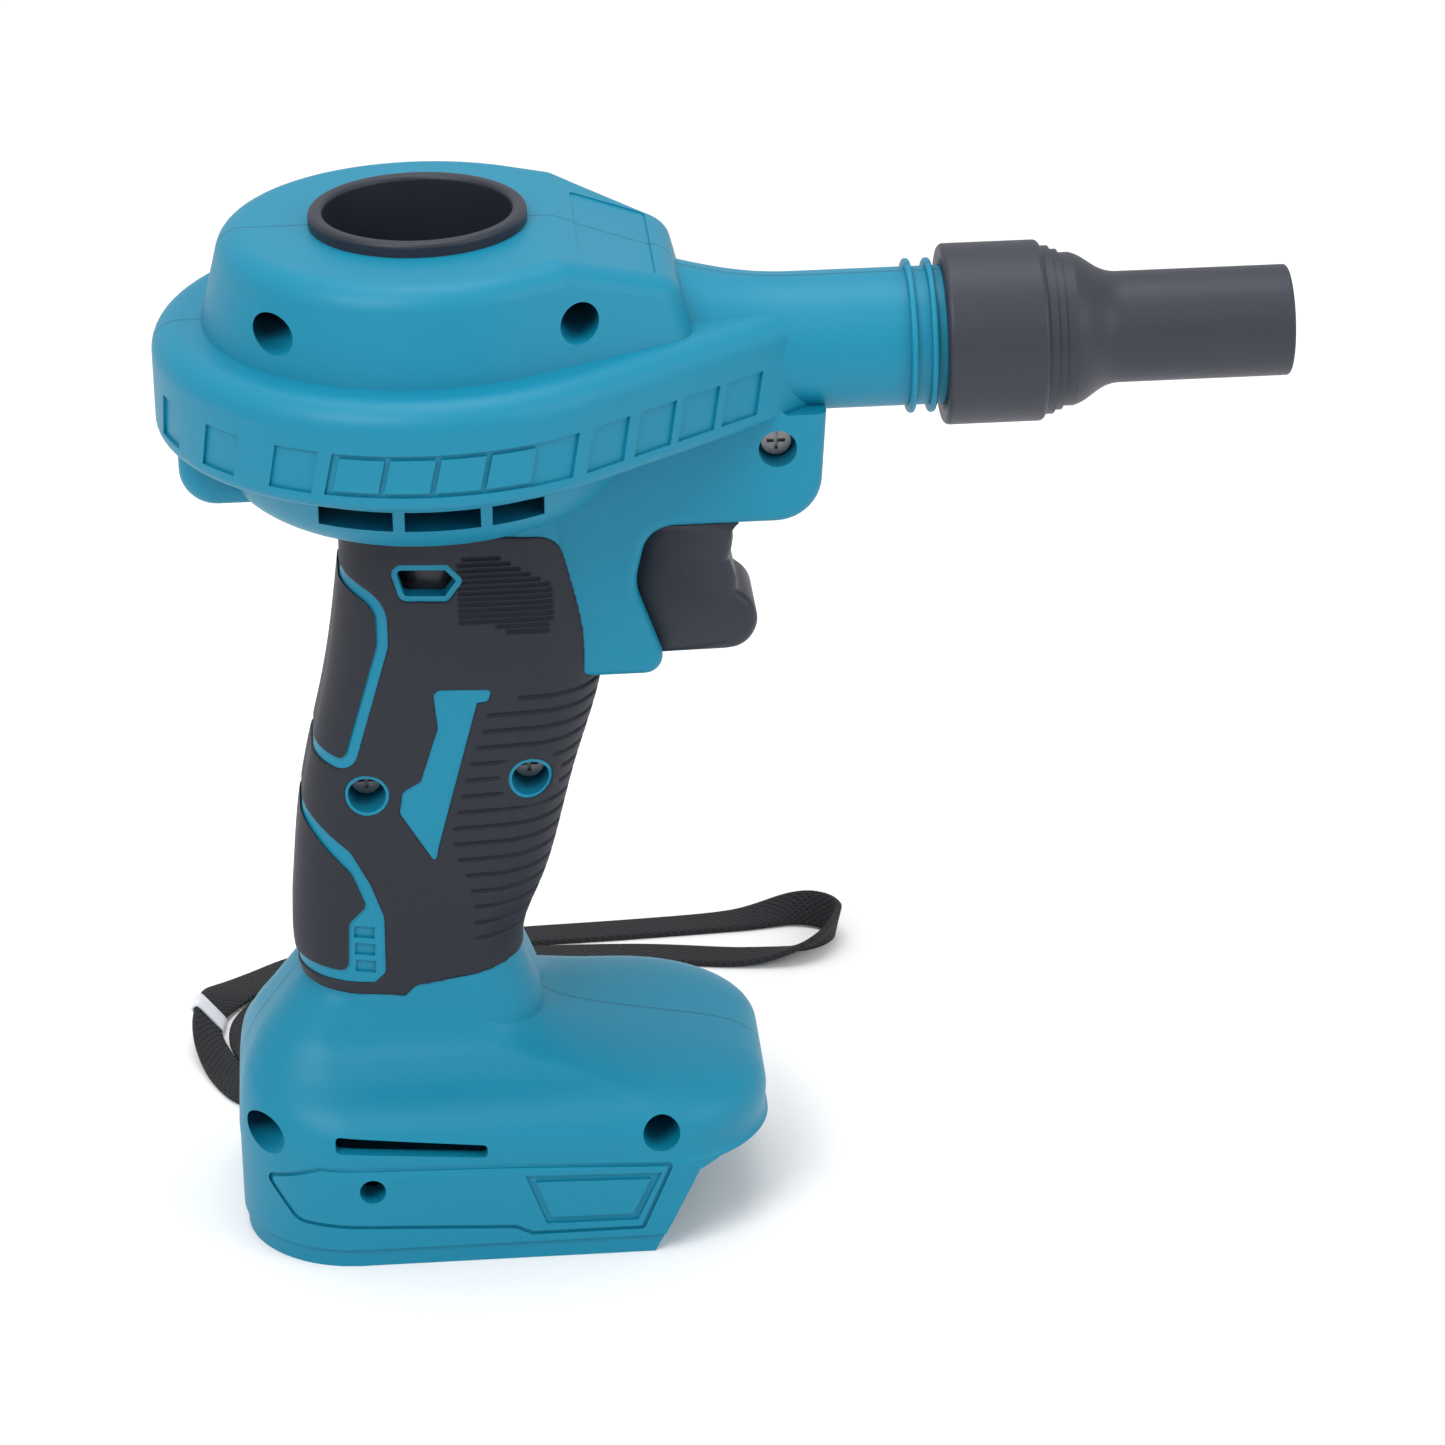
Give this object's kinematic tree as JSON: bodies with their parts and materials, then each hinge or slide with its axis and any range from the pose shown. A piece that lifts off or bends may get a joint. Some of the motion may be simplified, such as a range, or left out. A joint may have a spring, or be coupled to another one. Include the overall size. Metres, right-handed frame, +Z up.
{
  "type": "cordless leaf blower",
  "caption": "Hand-held cordless blower with a round fan head, side nozzle, trigger grip and a foot for a slide-on battery; fan spins, trigger slides, nozzle pulls off.",
  "frame": {"origin": "middle of the bounding box of the tool without its strap, at the floor", "axes": "+X the way the air blows, +Z up, +Y to the far side of the picture"},
  "size_m": [0.2475, 0.181, 0.233],
  "materials": {
    "teal_plastic": "fine moulded satin",
    "grip_rubber": "matt soft grip",
    "nozzle_rubber": "matt",
    "black_plastic": "satin",
    "fan_plastic": "satin",
    "steel": "bright",
    "bronze": "plain",
    "magnet": "plain",
    "wire_skin": "smooth",
    "webbing": "flat braid",
    "clip_plastic": "smooth"
  },
  "bodies": {
    "housing": {"housing_near": "teal_plastic", "housing_far": "teal_plastic", "side_grip_near": "grip_rubber", "side_grip_far": "grip_rubber", "upper_rear_pad_near": "grip_rubber", "upper_rear_pad_far": "grip_rubber", "lower_rear_pad_near": "grip_rubber", "lower_rear_pad_far": "grip_rubber", "intake_ring": "black_plastic", "switch_body": "black_plastic", "motor_can": "steel", "motor_end_cap": "black_plastic", "motor_bearings": "bronze", "motor_magnets": "magnet", "motor_screws": "steel", "terminal_block": "black_plastic", "terminal_blades": "bronze", "battery_wires": "wire_skin", "motor_wires": "wire_skin", "housing_screws": "steel", "strap_pin": "steel", "wrist_strap": "webbing", "strap_clip": "clip_plastic"},
    "rotor": {"motor_shaft": "steel", "rotor_core": "magnet", "commutator": "bronze", "impeller": "fan_plastic", "impeller_nut": "steel"},
    "trigger": {"trigger": "black_plastic", "trigger_plunger": "black_plastic"},
    "nozzle": {"blow_nozzle": "nozzle_rubber"}
  },
  "joints": [
    {"name": "fan_spin", "type": "hinge", "parent": "housing", "child": "rotor", "pos_m": [-0.06395, 0, 0.198], "axis": [0, 0, 1], "continuous": true},
    {"name": "trigger_pull", "type": "slide", "parent": "housing", "child": "trigger", "axis": [-1, 0, 0], "range_m": [0, 0.007], "stiffness_N_per_m": 800, "springref_m": -0.002},
    {"name": "nozzle_pull", "type": "slide", "parent": "housing", "child": "nozzle", "axis": [1, 0, 0], "range_m": [0, 0.03]}
  ]
}
